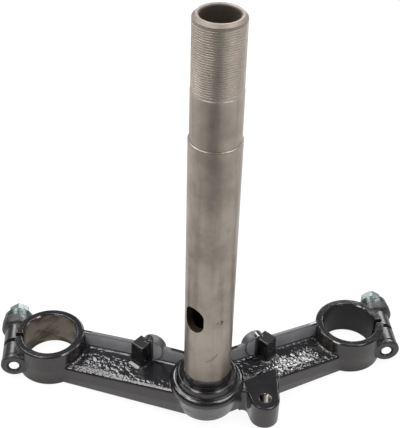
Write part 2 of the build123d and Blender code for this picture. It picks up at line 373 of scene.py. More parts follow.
    def mix(self, share: Value, first: Tint, second: Tint) -> Socket:
        """Blend two colours.

        Args:
            share: Socket or number, 0 for the first colour and 1 for the second.
            first: Colour or socket.
            second: Colour or socket.

        Returns:
            The colour socket.
        """
        made = self.node("ShaderNodeMix", data_type="RGBA")
        for index, value in ((0, share), (6, first), (7, second)):
            self.feed(made.inputs[index], value)
        return made.outputs[2]

    def layered(self, ground: Tint, *layers: Layer) -> Tint:
        """Lay colours over a ground, one after the other.

        Args:
            ground: Colour or socket at the bottom.
            *layers: Share and colour of each layer, the lowest first.

        Returns:
            The colour socket.
        """
        colour = ground
        for share, tint in layers:
            colour = self.mix(share, colour, tint)
        return colour

    def patches(self, kind: Patches, *zones: Value) -> Layer:
        """Share and colour of patches, kept to the zones that are given."""
        share = self.past(self.noise(kind.grain, kind.stretch), kind.edge)
        return self.times(share, *zones, kind.share), linear(kind.colour)

    def split(self, vector: Socket) -> tuple[Socket, Socket, Socket]:
        """Take a vector apart.

        Args:
            vector: Vector socket.

        Returns:
            Its X, Y and Z sockets.
        """
        made = self.node("ShaderNodeSeparateXYZ")
        self.feed(made.inputs["Vector"], vector)
        return made.outputs["X"], made.outputs["Y"], made.outputs["Z"]

    def facing(self) -> tuple[Socket, Socket, Socket]:
        """X, Y and Z sockets of the flat normal of the surface."""
        return self.split(self.node("ShaderNodeNewGeometry").outputs["True Normal"])

    def reach(self, first: Value, second: Value) -> Socket:
        """Length of the hypotenuse over two values."""
        squares = self.plus(self.times(first, first), self.times(second, second))
        return self.math("SQRT", squares)

    def bump(self, height: Value, strength: Value, distance: float, below: Socket) -> Socket:
        """Bump from a height.

        Args:
            height: Height socket.
            strength: Share of the bump that is applied, a number or a socket.
            distance: Height in metres of a value of 1.
            below: Normal socket of what lies underneath.

        Returns:
            The normal socket.
        """
        made = self.node("ShaderNodeBump")
        self.feed(made.inputs["Strength"], strength)
        made.inputs["Distance"].default_value = distance
        self.feed(made.inputs["Height"], height)
        self.feed(made.inputs["Normal"], below)
        return made.outputs["Normal"]

    def roughened(self, relief: Relief, below: Socket) -> Socket:
        """Bump from noise, on the normal of what lies underneath."""
        return self.bump(self.noise(relief.grain, relief.stretch), relief.strength, relief.depth, below)

    def softened(self, radius: float) -> Socket:
        """Normal that rounds the sharp edges of a piece.

        Args:
            radius: Radius of the rounding in metres.

        Returns:
            The normal socket.
        """
        made = self.node("ShaderNodeBevel", samples=6)
        made.inputs["Radius"].default_value = radius
        return made.outputs["Normal"]


@dataclass(frozen=True)
class CastingEdges:
    """Where the casting's zones begin: lengths in metres, and tilts as a share of the surface's normal."""

    web_level: float = -0.0078
    web_slope: float = 0.09805
    tab_x: float = 0.034
    tab_y: float = -0.0139
    peg_x: float = 0.0385
    peg_y: float = 0.0232
    left: Edge = Edge(0.001, -0.001)
    top_tilt: Edge = Edge(0.35, 0.8)
    web_tilt: Edge = Edge(0.6, 0.9)
    sloping: Edge = Edge(0.9985, 0.9965)
    web_height: Span = Span(-0.0016, 0.0012)
    web_stem: Edge = Edge(0.0226, 0.0236)
    wall_tilt: Edge = Edge(-0.8, -0.88)
    wall_across: Span = Span(0.006, 0.0088)
    wall_height: Edge = Edge(0.0, 0.002)
    wall_foot_across: Span = Span(0.0035, 0.0088)
    wall_foot_height: Edge = Edge(0.0001, 0.0006)
    wall_foot_fork: Edge = Edge(0.024, 0.026)
    fork_bore: Edge = Edge(FORK_BORE_RADIUS + 0.0002, FORK_BORE_RADIUS + 0.0001)
    tab_hole: Edge = Edge(0.0038, 0.0036)
    tab_hole_lit: Edge = Edge(0.0332, 0.0348)
    peg: Edge = Edge(0.0076, 0.007)
    peg_height: Edge = Edge(0.0004, 0.001)
    satin_height: Edge = Edge(0.0066, 0.008)
    satin_fork: Edge = Edge(0.0255, 0.027)
    satin_stem: Edge = Edge(0.027, 0.03)
    satin_side: Edge = Edge(0.109, 0.107)
    lug_side: Edge = Edge(0.107, 0.109)
    lug_fork: Edge = Edge(0.0216, 0.0221)
    boss: Edge = Edge(0.0236, 0.0226)
    boss_top_height: Edge = Edge(-0.0095, -0.008)
    boss_front_y: Edge = Edge(0.004, -0.004)
    boss_front_x: Edge = Edge(-0.012, -0.006)
    crown_across: Edge = Edge(-0.0129, -0.0105)
    crown_along: Edge = Edge(0.045, 0.065)
    crown_height: Edge = Edge(0.002, 0.001)
    shoulder: Edge = Edge(0.0208, 0.019)
    shoulder_left: Edge = Edge(-0.009, -0.0125)


class CastingZones:
    """Lengths measured on the casting, and sockets that are 1 on one zone of it and 0 elsewhere."""

    def __init__(self, paint: Paint, edges: CastingEdges) -> None:
        """Measure where a point of the surface lies and mark the zones.

        Args:
            paint: Material to add the nodes to.
            edges: Where the zones begin.
        """
        self.paint = paint
        self.edges = edges
        self.x, self.y, self.z = paint.split(paint.place)
        _, self.normal_y, self.normal_z = paint.facing()
        self.side_x = paint.size_of(self.x)
        cosine, sine = math.cos(ARM_TURN), math.sin(ARM_TURN)
        self.along = paint.plus(paint.times(self.side_x, cosine), paint.times(self.y, sine))
        self.across = paint.minus(paint.times(self.y, cosine), paint.times(self.side_x, sine))
        web_z = paint.minus(edges.web_level, paint.times(self.along, edges.web_slope))
        self.above_web = paint.minus(self.z, web_z)
        self.stem_reach = paint.reach(self.x, self.y)
        self.fork_reach = self.reach_from(self.side_x, FORK_X, FORK_Y)
        self.mark_sides()
        self.mark_web_and_wall()
        self.mark_boss()
        self.mark_ring_and_lug()

    def reach_from(self, sideways: Socket, centre_x: float, centre_y: float) -> Socket:
        """Distance from an upright axis.

        Args:
            sideways: X socket, with its sign or without.
            centre_x: Place of the axis.
            centre_y: Place of the axis.

        Returns:
            The distance socket.
        """
        return self.paint.reach(self.paint.minus(sideways, centre_x), self.paint.minus(self.y, centre_y))

    def mark_sides(self) -> None:
        """Mark the left half, the right half and what faces up."""
        self.left = self.paint.past(self.x, self.edges.left)
        self.right = self.paint.apart(self.left)
        self.upward = self.paint.past(self.normal_z, self.edges.top_tilt)

    def mark_web_and_wall(self) -> None:
        """Mark the webs, the pegs, the rear of the standing walls with its foot, and the satin tops."""
        paint, edges = self.paint, self.edges
        self.web = paint.times(
            paint.past(self.normal_z, edges.sloping),
            paint.past(self.normal_z, edges.web_tilt),
            paint.within(self.above_web, edges.web_height),
        )
        peg_reach = self.reach_from(self.side_x, edges.peg_x, edges.peg_y)
        self.peg = paint.times(paint.past(peg_reach, edges.peg), paint.past(self.above_web, edges.peg_height))
        self.inner_wall = paint.times(
            paint.past(self.normal_y, edges.wall_tilt),
            paint.within(self.across, edges.wall_across),
            paint.past(self.above_web, edges.wall_height),
        )
        self.wall_foot = paint.times(
            paint.within(self.across, edges.wall_foot_across),
            paint.past(self.above_web, edges.wall_foot_height),
            paint.apart(self.peg),
            paint.past(self.fork_reach, edges.wall_foot_fork),
        )
        self.satin = paint.times(
            paint.past(self.above_web, edges.satin_height),
            paint.past(self.fork_reach, edges.satin_fork),
            paint.past(self.stem_reach, edges.satin_stem),
            paint.past(self.side_x, edges.satin_side),
            paint.apart(self.peg),
        )

    def mark_boss(self) -> None:
        """Mark the top of the middle boss, which takes painted shade, its near side, and the tab's hole with
        its lit half, which takes a painted highlight.
        """
        paint, edges = self.paint, self.edges
        boss = paint.past(self.stem_reach, edges.boss)
        self.boss_top_shade = paint.times(boss, paint.past(self.z, edges.boss_top_height))
        self.boss_front = paint.times(
            boss, paint.past(self.y, edges.boss_front_y), paint.past(self.x, edges.boss_front_x)
        )
        self.tab_hole = paint.past(self.reach_from(self.x, edges.tab_x, edges.tab_y), edges.tab_hole)
        self.tab_hole_lit = paint.past(self.x, edges.tab_hole_lit)

    def mark_ring_and_lug(self) -> None:
        """Mark the fork bores and the pinch lugs."""
        paint, edges = self.paint, self.edges
        self.fork_bore = paint.past(self.fork_reach, edges.fork_bore)
        lug_side = paint.past(self.side_x, edges.lug_side)
        self.lug = paint.times(lug_side, paint.past(self.fork_reach, edges.lug_fork))


@dataclass(frozen=True)
class CastingFinish:
    """Black gloss paint over a casting: pebbled on the webs and smooth on the machined tops. Its colours also
    hold painted light: a grey sheen on the walls' inner faces, shade on the boss top, a lit top and shaded
    sides on the pegs, and a highlight in half of the tab's hole.
    """

    tops: Colour = (24, 24, 26)
    sides: Colour = (28, 24, 23)
    # Painted sheen: a mid grey, with a dimmer grey for its cloud, that stands for the light on the inner
    # faces of the standing walls
    walls: Colour = (123, 124, 128)
    dim_wall_sheen: Colour = (108, 108, 111)
    # Painted shade: near-black on the top of the middle boss, round the stem's foot
    boss_top_shade: Colour = (12, 11, 11)
    satin: Colour = (58, 58, 60)
    # Painted shade on the pegs' sides and painted light on their tops, two copies of one black paint
    peg_side_shade: Colour = (14, 13, 14)
    peg_top_light: Colour = (38, 38, 39)
    left_bore: Colour = (136, 127, 115)
    left_bore_wear: Colour = (66, 56, 44)
    right_bore: Colour = (30, 28, 27)
    right_bore_wear: Colour = (22, 21, 20)
    # Painted highlight on the bare steel of the tab's tapped hole, and painted shade on its other half
    tapped_steel_highlight: Colour = (190, 182, 172)
    tapped_shade: Colour = (30, 27, 24)
    stain: Patches = Patches((38, 32, 29), 0.5, Grain(26), Edge(0.45, 0.7))
    grime: Patches = Patches((82, 74, 66), 0.25, Grain(1500, 2.0), Edge(0.62, 0.75))
    boss_top_share: float = 0.85
    peg_share: float = 0.9
    bore_bareness: float = 0.6
    refraction: float = 1.6
    cloud: Grain = Grain(70, 4.0)
    wall_cloud: Edge = Edge(0.35, 0.7)
    wear: Grain = Grain(60, 3.0, 0.55)
    wear_stretch: Point = (1.0, 1.0, 0.6)
    wear_edge: Edge = Edge(0.4, 0.65)
    smoothest: float = 0.17
    roughest: float = 0.25
    peg_roughness: float = 0.08
    top_polish: float = -0.1
    web_polish: float = -0.03
    wall_roughening: float = 0.28
    satin_roughening: float = 0.3
    bore_roughening: float = 0.16
    lug_roughening: float = 0.2
    boss_roughening: float = 0.1
    edge_rounding: float = 0.0006
    swell: Relief = Relief(Grain(160, 2.0, 0.5), 0.5, 0.0001)
    orange_peel: Relief = Relief(Grain(1300, 2.0), 0.12, 0.0001)
    pebble: Grain = Grain(260, 1.5, 0.5, 1.2)
    pit_count: float = 420
    pit_smoothness: float = 0.3
    pit_share: float = 0.35
    pebble_depth: float = 0.0012
    smooth_strength: float = 0.01
    left_web: Edge = Edge(0.035, 0.075)
    left_web_strength: tuple[float, float] = (0.16, 0.62)
    right_web: Edge = Edge(0.03, 0.055)
    right_web_strength: tuple[float, float] = (0.95, 0.5)
    crown_strength: tuple[float, float] = (0.12, 0.95)
    crown_depth: float = 0.0008
    shoulder_depth: float = 0.0004
    tapped_pitch: float = 0.001
    tapped_depth: float = 0.0002
    edges: CastingEdges = CastingEdges()

    def build(self) -> bpy.types.Material:
        """Make the material.

        Returns:
            The material.
        """
        paint = Paint("black_casting_paint")
        zones = CastingZones(paint, self.edges)
        cloud = paint.noise(self.cloud)
        bare_bore = paint.times(zones.fork_bore, zones.left, self.bore_bareness)
        paint.set(
            Base_Color=self.colour(zones, cloud),
            Metallic=paint.math("MAXIMUM", zones.tab_hole, bare_bore),
            Roughness=self.roughness(zones, cloud),
            IOR=self.refraction,
            Normal=self.relief(zones),
        )
        return paint.material

    def colour(self, zones: CastingZones, cloud: Socket) -> Tint:
        """Lay the colours of the zones over each other.

        Args:
            zones: The casting's zones.
            cloud: Broad noise.

        Returns:
            The colour socket.
        """
        paint = zones.paint
        # Painted sheen on the inner faces of the standing walls, broken up by a cloud
        wall = paint.mix(paint.past(cloud, self.wall_cloud), linear(self.walls), linear(self.dim_wall_sheen))
        # Painted light and shade on the pegs: lighter where a face points up, darker on the sides
        peg = paint.mix(zones.upward, linear(self.peg_side_shade), linear(self.peg_top_light))
        # Painted light and shade in the tab's hole: bright steel on the +X half, dark on the rest
        hole_light_and_shade = paint.mix(zones.tab_hole_lit, linear(self.tapped_shade), linear(self.tapped_steel_highlight))
        return paint.layered(
            linear(self.sides),
            paint.patches(self.stain),
            (zones.upward, linear(self.tops)),
            # Painted shade on the top of the middle boss
            (paint.times(zones.boss_top_shade, self.boss_top_share), linear(self.boss_top_shade)),
            (zones.satin, linear(self.satin)),
            (zones.inner_wall, wall),
            (paint.times(zones.peg, self.peg_share), peg),
            (zones.fork_bore, self.bore_colour(zones)),
            (zones.tab_hole, hole_light_and_shade),
            paint.patches(self.grime),
        )

    def bore_colour(self, zones: CastingZones) -> Socket:
        """Colour of the fork bores, bare on the left and painted on the right.

        Args:
            zones: The casting's zones.

        Returns:
            The colour socket.
        """
        paint = zones.paint
        worn = paint.past(paint.noise(self.wear, self.wear_stretch), self.wear_edge)
        left = paint.mix(worn, linear(self.left_bore), linear(self.left_bore_wear))
        right = paint.mix(worn, linear(self.right_bore), linear(self.right_bore_wear))
        return paint.mix(zones.left, right, left)

    def roughness(self, zones: CastingZones, cloud: Socket) -> Value:
        """Roughness of the paint, least on the pegs and most on the walls.

        Args:
            zones: The casting's zones.
            cloud: Broad noise.

        Returns:
            The value socket.
        """
        paint = zones.paint
        gloss = paint.plus(
            paint.spread(cloud, self.smoothest, self.roughest),
            paint.times(zones.upward, self.top_polish),
            paint.times(zones.web, self.web_polish),
        )
        to_peg = paint.times(zones.peg, paint.minus(gloss, self.peg_roughness))
        wall = paint.math("MAXIMUM", zones.inner_wall, zones.wall_foot)
        return paint.plus(
            paint.minus(gloss, to_peg),
            paint.times(wall, self.wall_roughening),
            paint.times(zones.satin, self.satin_roughening),
            paint.times(zones.fork_bore, self.bore_roughening),
            paint.times(zones.lug, self.lug_roughening),
            paint.times(zones.boss_front, self.boss_roughening),
        )

    def relief(self, zones: CastingZones) -> Socket:
        """Relief of the surface: soft edges, paint, pebbles, crowned edges and the tab's thread.

        Args:
            zones: The casting's zones.

        Returns:
            The normal socket.
        """
        paint, edges = zones.paint, self.edges
        normal = paint.roughened(self.swell, paint.softened(self.edge_rounding))
        normal = self.pebbles(zones, paint.roughened(self.orange_peel, normal))
        crown_share = paint.times(
            paint.past(zones.along, edges.crown_along, *self.crown_strength),
            paint.past(zones.above_web, edges.crown_height),
        )
        crown = paint.past(zones.across, edges.crown_across)
        normal = paint.bump(crown, crown_share, self.crown_depth, normal)
        shoulder = paint.past(zones.stem_reach, edges.shoulder)
        normal = paint.bump(shoulder, paint.past(zones.x, edges.shoulder_left), self.shoulder_depth, normal)
        thread = paint.math("SINE", paint.times(zones.z, 2 * math.pi / self.tapped_pitch))
        return paint.bump(thread, zones.tab_hole, self.tapped_depth, normal)

    def pebbles(self, zones: CastingZones, below: Socket) -> Socket:
        """Rough cast relief of the webs, which fades on the other surfaces.

        Args:
            zones: The casting's zones.
            below: Normal socket of what lies underneath.

        Returns:
            The normal socket.
        """
        paint = zones.paint
        pits = paint.times(paint.cells(self.pit_count, self.pit_smoothness), self.pit_share)
        lumps = paint.plus(paint.noise(self.pebble), pits)
        left = paint.past(zones.along, self.left_web, *self.left_web_strength)
        right = paint.past(zones.along, self.right_web, *self.right_web_strength)
        strength = paint.plus(paint.times(zones.left, left), paint.times(zones.right, right))
        on_web = paint.times(zones.web, paint.past(zones.stem_reach, self.edges.web_stem))
        share = paint.plus(paint.times(on_web, strength), self.smooth_strength)
        return paint.bump(lumps, share, self.pebble_depth, below)


@dataclass(frozen=True)
class StemMark:
    """A small tool mark, a smudge beside it and a long scratch, in millimetres from the mark's middle."""

    turn: float = 22.8
    level: float = 0.052
    unit: float = 0.001
    depth: Edge = Edge(5.0, 3.0)
    hook_slant: float = -0.55
    hook_side: float = 0.9
    hook_width: Edge = Edge(0.6, 0.25)
    hook_height: Edge = Edge(1.9, 1.4)
    smudge_side: float = -1.8
    smudge_flatness: float = 1.3
    smudge_reach: Edge = Edge(1.8, 0.4)
    smudge_share: float = 0.35
    scratch_end: float = -8.0
    scratch_height: float = -29.7
    scratch_bow: float = 0.12
    scratch_width: Edge = Edge(0.5, 0.15)
    scratch_length: Span = Span(-7.4, -1.2, 0.4)
    scratch_fade: Edge = Edge(-6.0, -1.5)
    scratch_strength: tuple[float, float] = (0.4, 0.9)

    def share(self, paint: Paint) -> Value:
        """Share of the surface that the mark covers.

        Args:
            paint: Material to add the nodes to.

        Returns:
            The value socket.
        """
        turn = math.radians(self.turn)
        centre = (STEM_RADIUS * math.sin(turn), -STEM_RADIUS * math.cos(turn), self.level)
        side, front, height = paint.split(paint.stretched((self.unit, self.unit, self.unit), centre, turn))
        off_centre = paint.size_of(height)
        slant = paint.minus(side, paint.times(off_centre, self.hook_slant))
        hook = paint.times(
            paint.past(paint.size_of(paint.minus(slant, self.hook_side)), self.hook_width),
            paint.past(off_centre, self.hook_height),
        )
        smudge_reach = paint.reach(
            paint.minus(side, self.smudge_side), paint.times(height, self.smudge_flatness)
        )
        smudge = paint.times(paint.past(smudge_reach, self.smudge_reach), self.smudge_share)
        from_end = paint.minus(side, self.scratch_end)
        bow = paint.times(from_end, from_end, self.scratch_bow)
        off_line = paint.minus(paint.minus(height, self.scratch_height), bow)
        scratch = paint.times(
            paint.past(paint.size_of(off_line), self.scratch_width),
            paint.within(side, self.scratch_length),
            paint.past(side, self.scratch_fade, *self.scratch_strength),
        )
        near = paint.past(paint.size_of(front), self.depth)
        return paint.times(near, paint.math("MAXIMUM", hook, paint.math("MAXIMUM", smudge, scratch)))


@dataclass(frozen=True)
class StemFinish:
    """Bare turned steel, warm grey and dull with age, with paint and painted shadow round its foot, and
    painted shade low down and along its step.
    """

    steel: Colour = (152, 143, 133)
    shade: Colour = (126, 116, 106)
    low_shade: Colour = (100, 91, 82)
    worn_crest: Colour = (166, 156, 145)
    step_shade: Colour = (84, 77, 70)
    rim: Colour = (112, 104, 97)
    hollow: Colour = (60, 52, 44)
    lock_wall: Colour = (78, 64, 53)
    mark_dirt: Colour = (34, 28, 24)
    foot_paint_and_shadow: Colour = (20, 18, 17)
    cloud: Grain = Grain(34, 4.0, 0.65)
    cloud_edge: Edge = Edge(0.35, 0.7)
    streak: Patches = Patches((108, 98, 88), 0.45, Grain(160), Edge(0.5, 0.72), (1.0, 1.0, 14.0))
    speck: Patches = Patches((92, 80, 68), 0.5, Grain(700, 2.0, 0.5), Edge(0.7, 0.78))
    rust: Patches = Patches((96, 76, 54), 0.35, Grain(60), Edge(0.6, 0.75))
    rust_height: Edge = Edge(0.13, 0.1)
    low_height: Edge = Edge(0.04, 0.004)
    low_share: float = 0.45
    thread_height: Span = Span(THREAD_START - 0.001, 0.2293, 0.0006)
    worn_share: float = 0.3
    step_height: Span = Span(0.165, 0.1658, 0.0003)
    step_share: float = 0.55
    rim_height: Edge = Edge(0.2292, 0.2298)
    rim_share: float = 0.8
    bore: Edge = Edge(STEM_BORE_RADIUS + 0.0006, STEM_BORE_RADIUS + 0.0003)
    lock_height: Span = Span(0.04, 0.064)
    lock_reach: Edge = Edge(0.01384, 0.0137)
    foot_grain: Grain = Grain(150)
    foot_raggedness: float = 0.0035
    foot_height: Edge = Edge(0.0079, 0.0066)
    foot_share: float = 0.95
    bareness: float = 0.72
    hollow_bareness: float = 0.4
    smoothest: float = 0.3
    roughest: float = 0.42
    hollow_roughening: float = 0.2
    rim_roughening: float = 0.2
    foot_polish: float = -0.2
    edge_rounding: float = 0.00025
    turning: Relief = Relief(Grain(1500, 2.0), 0.3, 0.00006, (8.0, 8.0, 1.0))
    swell: Relief = Relief(Grain(260), 0.3, 0.00012)
    mark_strength: float = 0.6
    mark_depth: float = 0.0004
    mark: StemMark = StemMark()

    def build(self) -> bpy.types.Material:
        """Make the material.

        Returns:
            The material.
        """
        paint = Paint("bare_turned_steel")
        x, y, z = paint.split(paint.place)
        radius = paint.reach(x, y)
        hollow = paint.past(radius, self.bore)
        # Ragged band at the foot: real paint overspray, and painted shadow where the stem enters the casting
        ragged = paint.plus(z, paint.times(paint.noise(self.foot_grain), self.foot_raggedness))
        painted = paint.times(paint.past(ragged, self.foot_height), paint.apart(hollow))
        lock_hole = paint.times(
            paint.within(z, self.lock_height), paint.past(radius, self.lock_reach), paint.apart(hollow)
        )
        mark = self.mark.share(paint)
        streak = paint.noise(self.streak.grain, self.streak.stretch)
        rim = paint.past(z, self.rim_height)
        colour = paint.layered(
            self.steel_colour(paint, z, streak),
            (paint.times(rim, self.rim_share), linear(self.rim)),
            (hollow, linear(self.hollow)),
            (lock_hole, linear(self.lock_wall)),
            (mark, linear(self.mark_dirt)),
            # Paint at the foot, together with painted shadow
            (paint.times(painted, self.foot_share), linear(self.foot_paint_and_shadow)),
        )
        rough = paint.plus(
            paint.spread(streak, self.smoothest, self.roughest),
            paint.times(hollow, self.hollow_roughening),
            paint.times(rim, self.rim_roughening),
            paint.times(painted, self.foot_polish),
        )
        metal = paint.times(
            paint.ramp(painted, 0.0, 1.0, self.bareness, 0.0),
            paint.ramp(hollow, 0.0, 1.0, 1.0, self.hollow_bareness),
        )
        paint.set(Base_Color=colour, Metallic=metal, Roughness=rough, Normal=self.relief(paint, mark))
        return paint.material

    def steel_colour(self, paint: Paint, z: Socket, streak: Socket) -> Tint:
        """Colour of the outside of the tube, from its foot to its thread.

        Args:
            paint: Material to add the nodes to.
            z: Height socket.
            streak: Noise drawn out along the tube.

        Returns:
            The colour socket.
        """
        cloud = paint.past(paint.noise(self.cloud), self.cloud_edge)
        streaked = paint.times(paint.past(streak, self.streak.edge), self.streak.share)
        # Share of painted shade, rising towards the tube's foot
        low = paint.past(z, self.low_height, 0.0, self.low_share)
        return paint.layered(
            linear(self.steel),
            (cloud, linear(self.shade)),
            (streaked, linear(self.streak.colour)),
            paint.patches(self.speck),
            paint.patches(self.rust, paint.past(z, self.rust_height)),
            # Painted shade that darkens the tube towards its foot, where it enters the casting
            (low, linear(self.low_shade)),
            (paint.times(paint.within(z, self.thread_height), self.worn_share), linear(self.worn_crest)),
            # Painted shade along the narrow band of the step's chamfer
            (paint.times(paint.within(z, self.step_height), self.step_share), linear(self.step_shade)),
        )

    def relief(self, paint: Paint, mark: Value) -> Socket:
        """Relief of the surface: soft edges, turning marks, a slight swell and the tool mark.

        Args:
            paint: Material to add the nodes to.
            mark: Share of the tool mark.

        Returns:
            The normal socket.
        """
        normal = paint.roughened(self.turning, paint.softened(self.edge_rounding))
        normal = paint.roughened(self.swell, normal)
        return paint.bump(paint.minus(1.0, mark), self.mark_strength, self.mark_depth, normal)


@dataclass(frozen=True)
class ZincFinish:
    """Zinc plate with a slight blue tint and dull patches, with painted light making the hexagon lighter than
    the plate, and a painted white reflection on the ends that face -Y.
    """

    name: str
    plate: Colour
    dull: Colour
    # Painted light: a lighter, less metallic copy of the plate on the hexagon
    lit_hexagon: Colour = (116, 125, 124)
    # Painted reflection: near white on the faces that point towards -Y, the bolt tips
    tip_reflection: Colour = (246, 250, 250)
    pits: Patches = Patches((120, 128, 122), 0.4, Grain(1400, 2.0), Edge(0.66, 0.76))
    cloud: Grain = Grain(260, 4.0)
    cloud_edge: Edge = Edge(0.4, 0.7)
    hexagon_reach: Edge = Edge(0.0074, 0.007)
    tip_tilt: Edge = Edge(-0.8, -0.95)
    bareness: float = 0.9
    hexagon_bareness: float = 0.5
    smoothest: float = 0.26
    roughest: float = 0.4
    relief: Relief = Relief(Grain(900), 0.2, 0.0001)
    edge_rounding: float = 0.0003

    def build(self) -> bpy.types.Material:
        """Make the material.

        Returns:
            The material.
        """
        paint = Paint(self.name)
        x, _, z = paint.split(paint.place)
        _, normal_y, _ = paint.facing()
        cloud = paint.noise(self.cloud)
        reach = paint.reach(paint.minus(paint.size_of(x), BOLT_X), paint.minus(z, BOLT_Z))
        # Share of the painted light on the hexagon
        lit_hexagon = paint.past(reach, self.hexagon_reach)
        colour = paint.layered(
            linear(self.plate),
            (paint.past(cloud, self.cloud_edge), linear(self.dull)),
            paint.patches(self.pits),
            (lit_hexagon, linear(self.lit_hexagon)),
            # Painted reflection on the bolt tips
            (paint.past(normal_y, self.tip_tilt), linear(self.tip_reflection)),
        )
        paint.set(
            Base_Color=colour,
            Metallic=paint.ramp(lit_hexagon, 0.0, 1.0, self.bareness, self.hexagon_bareness),
            Roughness=paint.spread(cloud, self.smoothest, self.roughest),
            Normal=paint.roughened(self.relief, paint.softened(self.edge_rounding)),
        )
        return paint.material


def repaint(piece: bpy.types.Object, material: bpy.types.Material) -> None:
    """Put one material on every slot of an object.

    Args:
        piece: Object to dress.
        material: Its new material.
    """
    if not piece.material_slots:
        piece.data.materials.append(material)
    for held in piece.material_slots:
        held.material = material


def choose(piece: bpy.types.Object) -> None:
    """Make a piece the only selected and the active object.

    Args:
        piece: Object to select.
    """
    bpy.ops.object.select_all(action="DESELECT")
    piece.select_set(True)
    bpy.context.view_layer.objects.active = piece


def apply_modifier(piece: bpy.types.Object, kind: str, **settings: object) -> None:
    """Add a modifier to a piece, set it and apply it.

    Args:
        piece: Object to change.
        kind: Blender's name of the modifier type.
        **settings: Attributes of the modifier.
    """
    choose(piece)
    made = piece.modifiers.new(kind.lower(), kind)
    for key, value in settings.items():
        setattr(made, key, value)
    bpy.ops.object.modifier_apply(modifier=made.name)


@dataclass
class Yoke:
    """The casting that grips the fork tubes."""

    finish: CastingFinish = field(default_factory=CastingFinish)

    def dress(self, nodes: dict[str, bpy.types.Object]) -> None:
        """Give the casting its finish.

        Args:
            nodes: The frame's objects by name.
        """
        repaint(nodes["lower_yoke"], self.finish.build())
        log.info("painted lower_yoke")


@dataclass
class Stem:
    """The tube pressed into the casting, with its fine thread cut."""

    pitch: float = 0.00125
    thread_radius: float = 0.013
    groove_depth: float = 0.0004
    groove_width: float = 0.0008
    proud: float = 0.0002
    turn_steps: int = 72
    smooth_angle: float = 28.0
    merge: float = 1e-6
    fine_merge: float = 1e-7
    finish: StemFinish = field(default_factory=StemFinish)

    def dress(self, nodes: dict[str, bpy.types.Object]) -> None:
        """Cut the thread into a copy of the tube and give it its finish.

        Args:
            nodes: The frame's objects by name.
        """
        tube = self.copy_of(nodes["steering_stem"])
        cutter = self.build_cutter()
        apply_modifier(tube, "BOOLEAN", operation="DIFFERENCE", solver="EXACT", object=cutter)
        bpy.data.objects.remove(cutter)
        choose(tube)
        bpy.ops.object.shade_smooth_by_angle(angle=math.radians(self.smooth_angle))
        repaint(tube, self.finish.build())
        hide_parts("steering_stem")
        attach(tube, "root")
        log.info("cut the thread of threaded_stem, which has %d faces", len(tube.data.polygons))

    def copy_of(self, node: bpy.types.Object) -> bpy.types.Object:
        """Copy a node's mesh into a new object with its triangles joined.

        Args:
            node: The frame's object.

        Returns:
            The new object.
        """
        tube = bpy.data.objects.new("threaded_stem", node.data.copy())
        bpy.context.scene.collection.objects.link(tube)
        choose(tube)
        bpy.ops.object.mode_set(mode="EDIT")
        bpy.ops.mesh.select_all(action="SELECT")
        bpy.ops.mesh.remove_doubles(threshold=self.merge)
        bpy.ops.mesh.customdata_custom_splitnormals_clear()
        bpy.ops.object.mode_set(mode="OBJECT")
        return tube

    def build_cutter(self) -> bpy.types.Object:
        """Sweep a three-sided groove profile up a helix round the stem.

        Returns:
            The closed cutter.
        """
        low = THREAD_START + self.groove_width
        bpy.ops.object.select_all(action="DESELECT")
        bpy.ops.mesh.primitive_circle_add(vertices=3, radius=1.0, fill_type="NOTHING", location=(0, 0, 0))
        cutter = bpy.context.object
        cutter.name = "thread_cutter"
        inner = self.thread_radius - self.groove_depth
        outer = self.thread_radius + self.proud
        half = self.groove_width / 2
        profile = ((inner, 0.0, low), (outer, 0.0, low + half), (outer, 0.0, low - half))
        for vertex, place in zip(cutter.data.vertices, profile):
            vertex.co = place
        turns = math.ceil((STEM_TOP - low) / self.pitch) + 1
        apply_modifier(
            cutter,
            "SCREW",
            axis="Z",
            angle=2 * math.pi,
            screw_offset=self.pitch,
            iterations=turns,
            steps=self.turn_steps,
            render_steps=self.turn_steps,
            use_normal_calculate=True,
        )
        self.close(cutter)
        return cutter

    def close(self, cutter: bpy.types.Object) -> None:
        """Merge the turns of the cutter, fill its two ends and point its faces outwards.

        Args:
            cutter: The swept profile.
        """
        choose(cutter)
        bpy.ops.object.mode_set(mode="EDIT")
        bpy.ops.mesh.select_all(action="SELECT")
        bpy.ops.mesh.remove_doubles(threshold=self.fine_merge)
        bpy.ops.mesh.fill_holes(sides=4)
        bpy.ops.mesh.select_all(action="SELECT")
        bpy.ops.mesh.normals_make_consistent(inside=False)
        bpy.ops.object.mode_set(mode="OBJECT")


@dataclass
class PinchBolts:
    """The bolts that draw the rings together, and their washers."""

    # The dark teal plates are painted shade on the flange and washer rims, the washer's darker still
    bolt_finish: ZincFinish = field(
        default_factory=lambda: ZincFinish("bolt_zinc", (91, 102, 101), (65, 74, 73))
    )
    washer_finish: ZincFinish = field(
        default_factory=lambda: ZincFinish("washer_zinc", (74, 86, 84), (50, 59, 58))
    )

    def dress(self, nodes: dict[str, bpy.types.Object]) -> None:
        """Give the bolts and washers their finish.

        Args:
            nodes: The frame's objects by name.
        """
        bolt, washer = self.bolt_finish.build(), self.washer_finish.build()
        for side in Side:
            repaint(nodes[f"pinch_bolt_{side.value}"], bolt)
            repaint(nodes[f"pinch_washer_{side.value}"], washer)
            log.info("plated pinch_bolt_%s and pinch_washer_%s", side.value, side.value)


